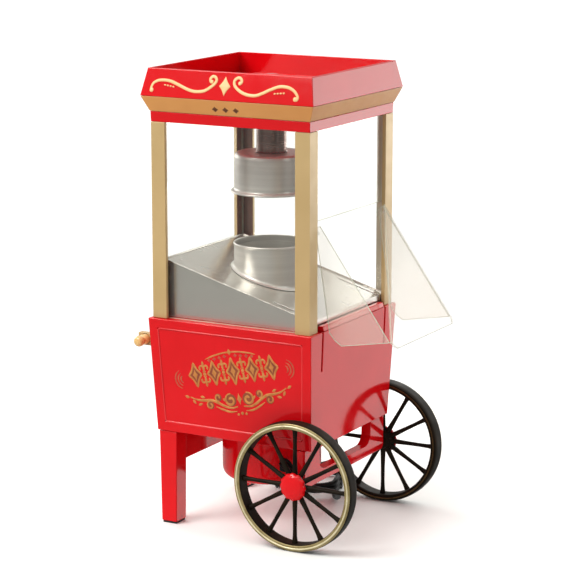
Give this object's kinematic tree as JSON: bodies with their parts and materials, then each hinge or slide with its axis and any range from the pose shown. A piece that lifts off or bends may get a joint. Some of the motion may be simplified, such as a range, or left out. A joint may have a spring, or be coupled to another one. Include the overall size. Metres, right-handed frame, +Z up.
{
  "type": "popcorn cart",
  "caption": "Table-top hot-air popcorn cart: glazed cabinet with a tilt-out door on a tapered red base with legs and spoked wheels.",
  "frame": {"origin": "on the ground, under the middle of the cart's outline without its lead", "axes": "+Z up; the decorated front faces -Y; the door and wheels are at +X and the handle at -X"},
  "size_m": [0.3272, 0.2951, 0.52],
  "materials": {
    "red": "high gloss",
    "gold": "satin antique gold paint",
    "band_gold": "gloss gold paint",
    "handle_cream": "gloss cream gold",
    "clear": "clear, polished",
    "satin_metal": "satin",
    "plain_steel": "brushed",
    "mica": "matte",
    "wheel_black": "gloss black with an antique gold ring",
    "black": "satin",
    "cord_black": "satin",
    "foot": "matte"
  },
  "bodies": {
    "cart": {"base_shell": "red", "base_front_panel": "red", "base_rear_panel": "red", "base_bottom_plate": "red", "sill_strip": "red", "leg_front": "red", "leg_rear": "red", "foot_pad_front": "foot", "foot_pad_rear": "foot", "leg_apron": "red", "axle_yoke": "red", "axle_rod": "plain_steel", "post_front_left": "gold", "post_front_right": "gold", "post_rear_left": "gold", "post_rear_right": "gold", "window_front": "clear", "window_rear": "clear", "window_left": "clear", "window_right": "clear", "canopy_lower_band": "red", "canopy_gold_band": "band_gold", "cabinet_ceiling": "red", "canopy_tray": "red", "tray_floor": "satin_metal", "tray_side_front": "satin_metal", "tray_side_rear": "satin_metal", "tray_end": "satin_metal", "chamber_collar": "satin_metal", "popping_chamber": "satin_metal", "hood": "satin_metal", "fill_tube": "satin_metal", "air_duct": "plain_steel", "heater_frame": "mica", "heater_coil": "plain_steel", "motor": "plain_steel", "motor_mount": "plain_steel", "motor_housing": "red", "strain_relief": "black", "cord_lead": "cord_black", "cord_hank": "cord_black", "cord_tie": "cord_black", "cord_tail": "cord_black", "plug": "black", "switch_body": "black", "handle_bar": "handle_cream", "handle_arm_front": "gold", "handle_arm_rear": "gold"},
    "wheel_front": {"wheel_front": "wheel_black", "hubcap_front": "red"},
    "wheel_rear": {"wheel_rear": "wheel_black", "hubcap_rear": "red"},
    "door": {"door_panel": "clear", "door_side_front": "clear", "door_side_rear": "clear"},
    "lid": {"kernel_lid": "red"},
    "fan": {"fan_impeller": "black", "motor_shaft": "plain_steel"},
    "rocker": {"switch_rocker": "black"}
  },
  "joints": [
    {"name": "wheel_front_spin", "type": "hinge", "parent": "cart", "child": "wheel_front", "pos_m": [0.0582, -0.108, 0.0726], "axis": [0, 1, 0], "continuous": true},
    {"name": "wheel_rear_spin", "type": "hinge", "parent": "cart", "child": "wheel_rear", "pos_m": [0.0582, 0.108, 0.0726], "axis": [0, 1, 0], "continuous": true},
    {"name": "door_hinge", "type": "hinge", "parent": "cart", "child": "door", "pos_m": [0.0692, 0, 0.3489], "axis": [0, -1, 0], "range_deg": [-35.3, 25]},
    {"name": "lid_lift", "type": "slide", "parent": "cart", "child": "lid", "axis": [0, 0, 1], "range_m": [0, 0.06]},
    {"name": "fan_spin", "type": "hinge", "parent": "cart", "child": "fan", "pos_m": [-0.0311, 0, 0.127], "axis": [0, 0, 1], "continuous": true},
    {"name": "rocker_tilt", "type": "hinge", "parent": "cart", "child": "rocker", "pos_m": [-0.0901, 0.09662, 0.152], "axis": [0, 0, 1], "range_deg": [0, 12.8]}
  ]
}
